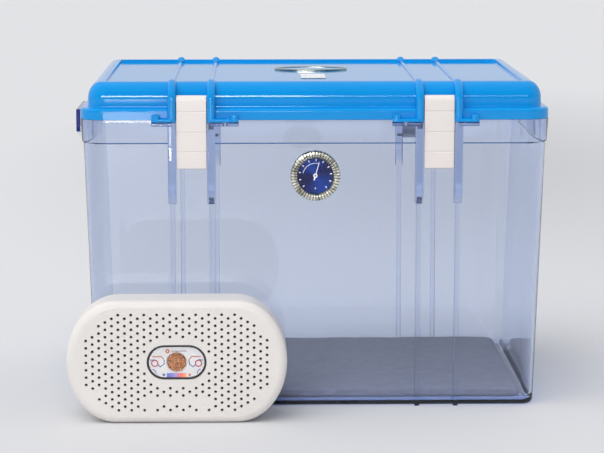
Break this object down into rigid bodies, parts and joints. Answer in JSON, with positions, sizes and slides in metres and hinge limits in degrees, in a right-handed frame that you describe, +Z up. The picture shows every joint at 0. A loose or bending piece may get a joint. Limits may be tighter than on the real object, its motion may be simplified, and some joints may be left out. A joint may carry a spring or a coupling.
{
  "type": "filament dryer box",
  "caption": "Clear latched storage tub with a blue hinged lid, dial hygrometer, foam mat and a separate perforated dryer unit in front.",
  "frame": {"origin": "centre of the tub's base, on the surface it stands on", "axes": "+X along the box to the right of someone facing the latches, -Y the latch side, +Z up"},
  "size_m": [0.4046, 0.3338, 0.2726],
  "materials": {
    "clear_tub": "clear, faintly violet-blue, glossy",
    "blue_plastic": "glossy opaque blue",
    "ivory_plastic": "fine satin, warm off-white",
    "foam": "open-cell grey foam",
    "rubber": "soft grey",
    "chrome_trim": "bright plated",
    "clear_pane": "clear",
    "dial_print": "sunburst blue with white marks",
    "white_paint": "white",
    "black_plastic": "black satin",
    "brass_parts": "machined",
    "pin_steel": "bright",
    "white_label": "white printed paper",
    "indicator_gel": "orange beads",
    "dark_mesh": "fine dark mesh",
    "bead_cloth": "white non-woven bag of beads",
    "heater_aluminium": "plain sheet",
    "circuit_board": "green board"
  },
  "bodies": {
    "root": {"box_body": "clear_tub", "foam_mat": "foam", "gauge_seal": "rubber", "gauge_case": "black_plastic", "gauge_bezel": "chrome_trim", "gauge_lens": "clear_pane", "gauge_dial": "dial_print", "gauge_retaining_ring": "black_plastic", "gauge_bridge": "brass_parts", "gauge_coil": "pin_steel", "hinge_leaf_left": "ivory_plastic", "hinge_leaf_right": "ivory_plastic", "leaf_pin_left": "pin_steel", "leaf_pin_right": "pin_steel"},
    "lid": {"lid_shell": "blue_plastic", "lid_gasket": "rubber", "lid_badge": "chrome_trim", "lid_sticker": "white_label", "latch_pin_left": "pin_steel", "latch_pin_right": "pin_steel", "hinge_pin_left": "pin_steel", "hinge_pin_right": "pin_steel"},
    "latch_left": {"latch_left": "ivory_plastic"},
    "latch_right": {"latch_right": "ivory_plastic"},
    "gauge_pointer": {"gauge_needle": "white_paint", "gauge_arbor": "brass_parts"},
    "dryer": {"dryer_front_shell": "ivory_plastic", "dryer_back_shell": "ivory_plastic", "dryer_window_frame": "black_plastic", "dryer_window_pane": "clear_pane", "dryer_window_card": "white_label", "indicator_beads": "indicator_gel", "dryer_dust_mesh": "dark_mesh", "desiccant_pack": "bead_cloth", "heater_plate": "heater_aluminium", "heater_element": "black_plastic", "heater_thermostat": "pin_steel", "control_board": "circuit_board", "power_inlet": "black_plastic", "inlet_pin_left": "pin_steel", "inlet_pin_right": "pin_steel", "dryer_screw_1": "pin_steel", "dryer_screw_2": "pin_steel", "dryer_screw_3": "pin_steel", "dryer_screw_4": "pin_steel"}
  },
  "joints": [
    {"name": "lid_hinge", "type": "hinge", "parent": "root", "child": "lid", "pos_m": [0, 0.1415, 0.2405], "axis": [-1, 0, 0], "range_deg": [0, 110]},
    {"name": "latch_left_pivot", "type": "hinge", "parent": "lid", "child": "latch_left", "pos_m": [-0.101, -0.1348, 0.256], "axis": [-1, 0, 0], "range_deg": [0, 120]},
    {"name": "latch_right_pivot", "type": "hinge", "parent": "lid", "child": "latch_right", "pos_m": [0.101, -0.1348, 0.256], "axis": [-1, 0, 0], "range_deg": [0, 120]},
    {"name": "gauge_needle_turn", "type": "hinge", "parent": "root", "child": "gauge_pointer", "pos_m": [0, -0.1329, 0.1945], "axis": [0, -0.9994, -0.0345], "range_deg": [-121, 148], "stiffness_Nm_per_rad": 0.0005},
    {"name": "dryer_lift", "type": "slide", "parent": "root", "child": "dryer", "axis": [0, 0, 1], "range_m": [0, 0.3]}
  ]
}
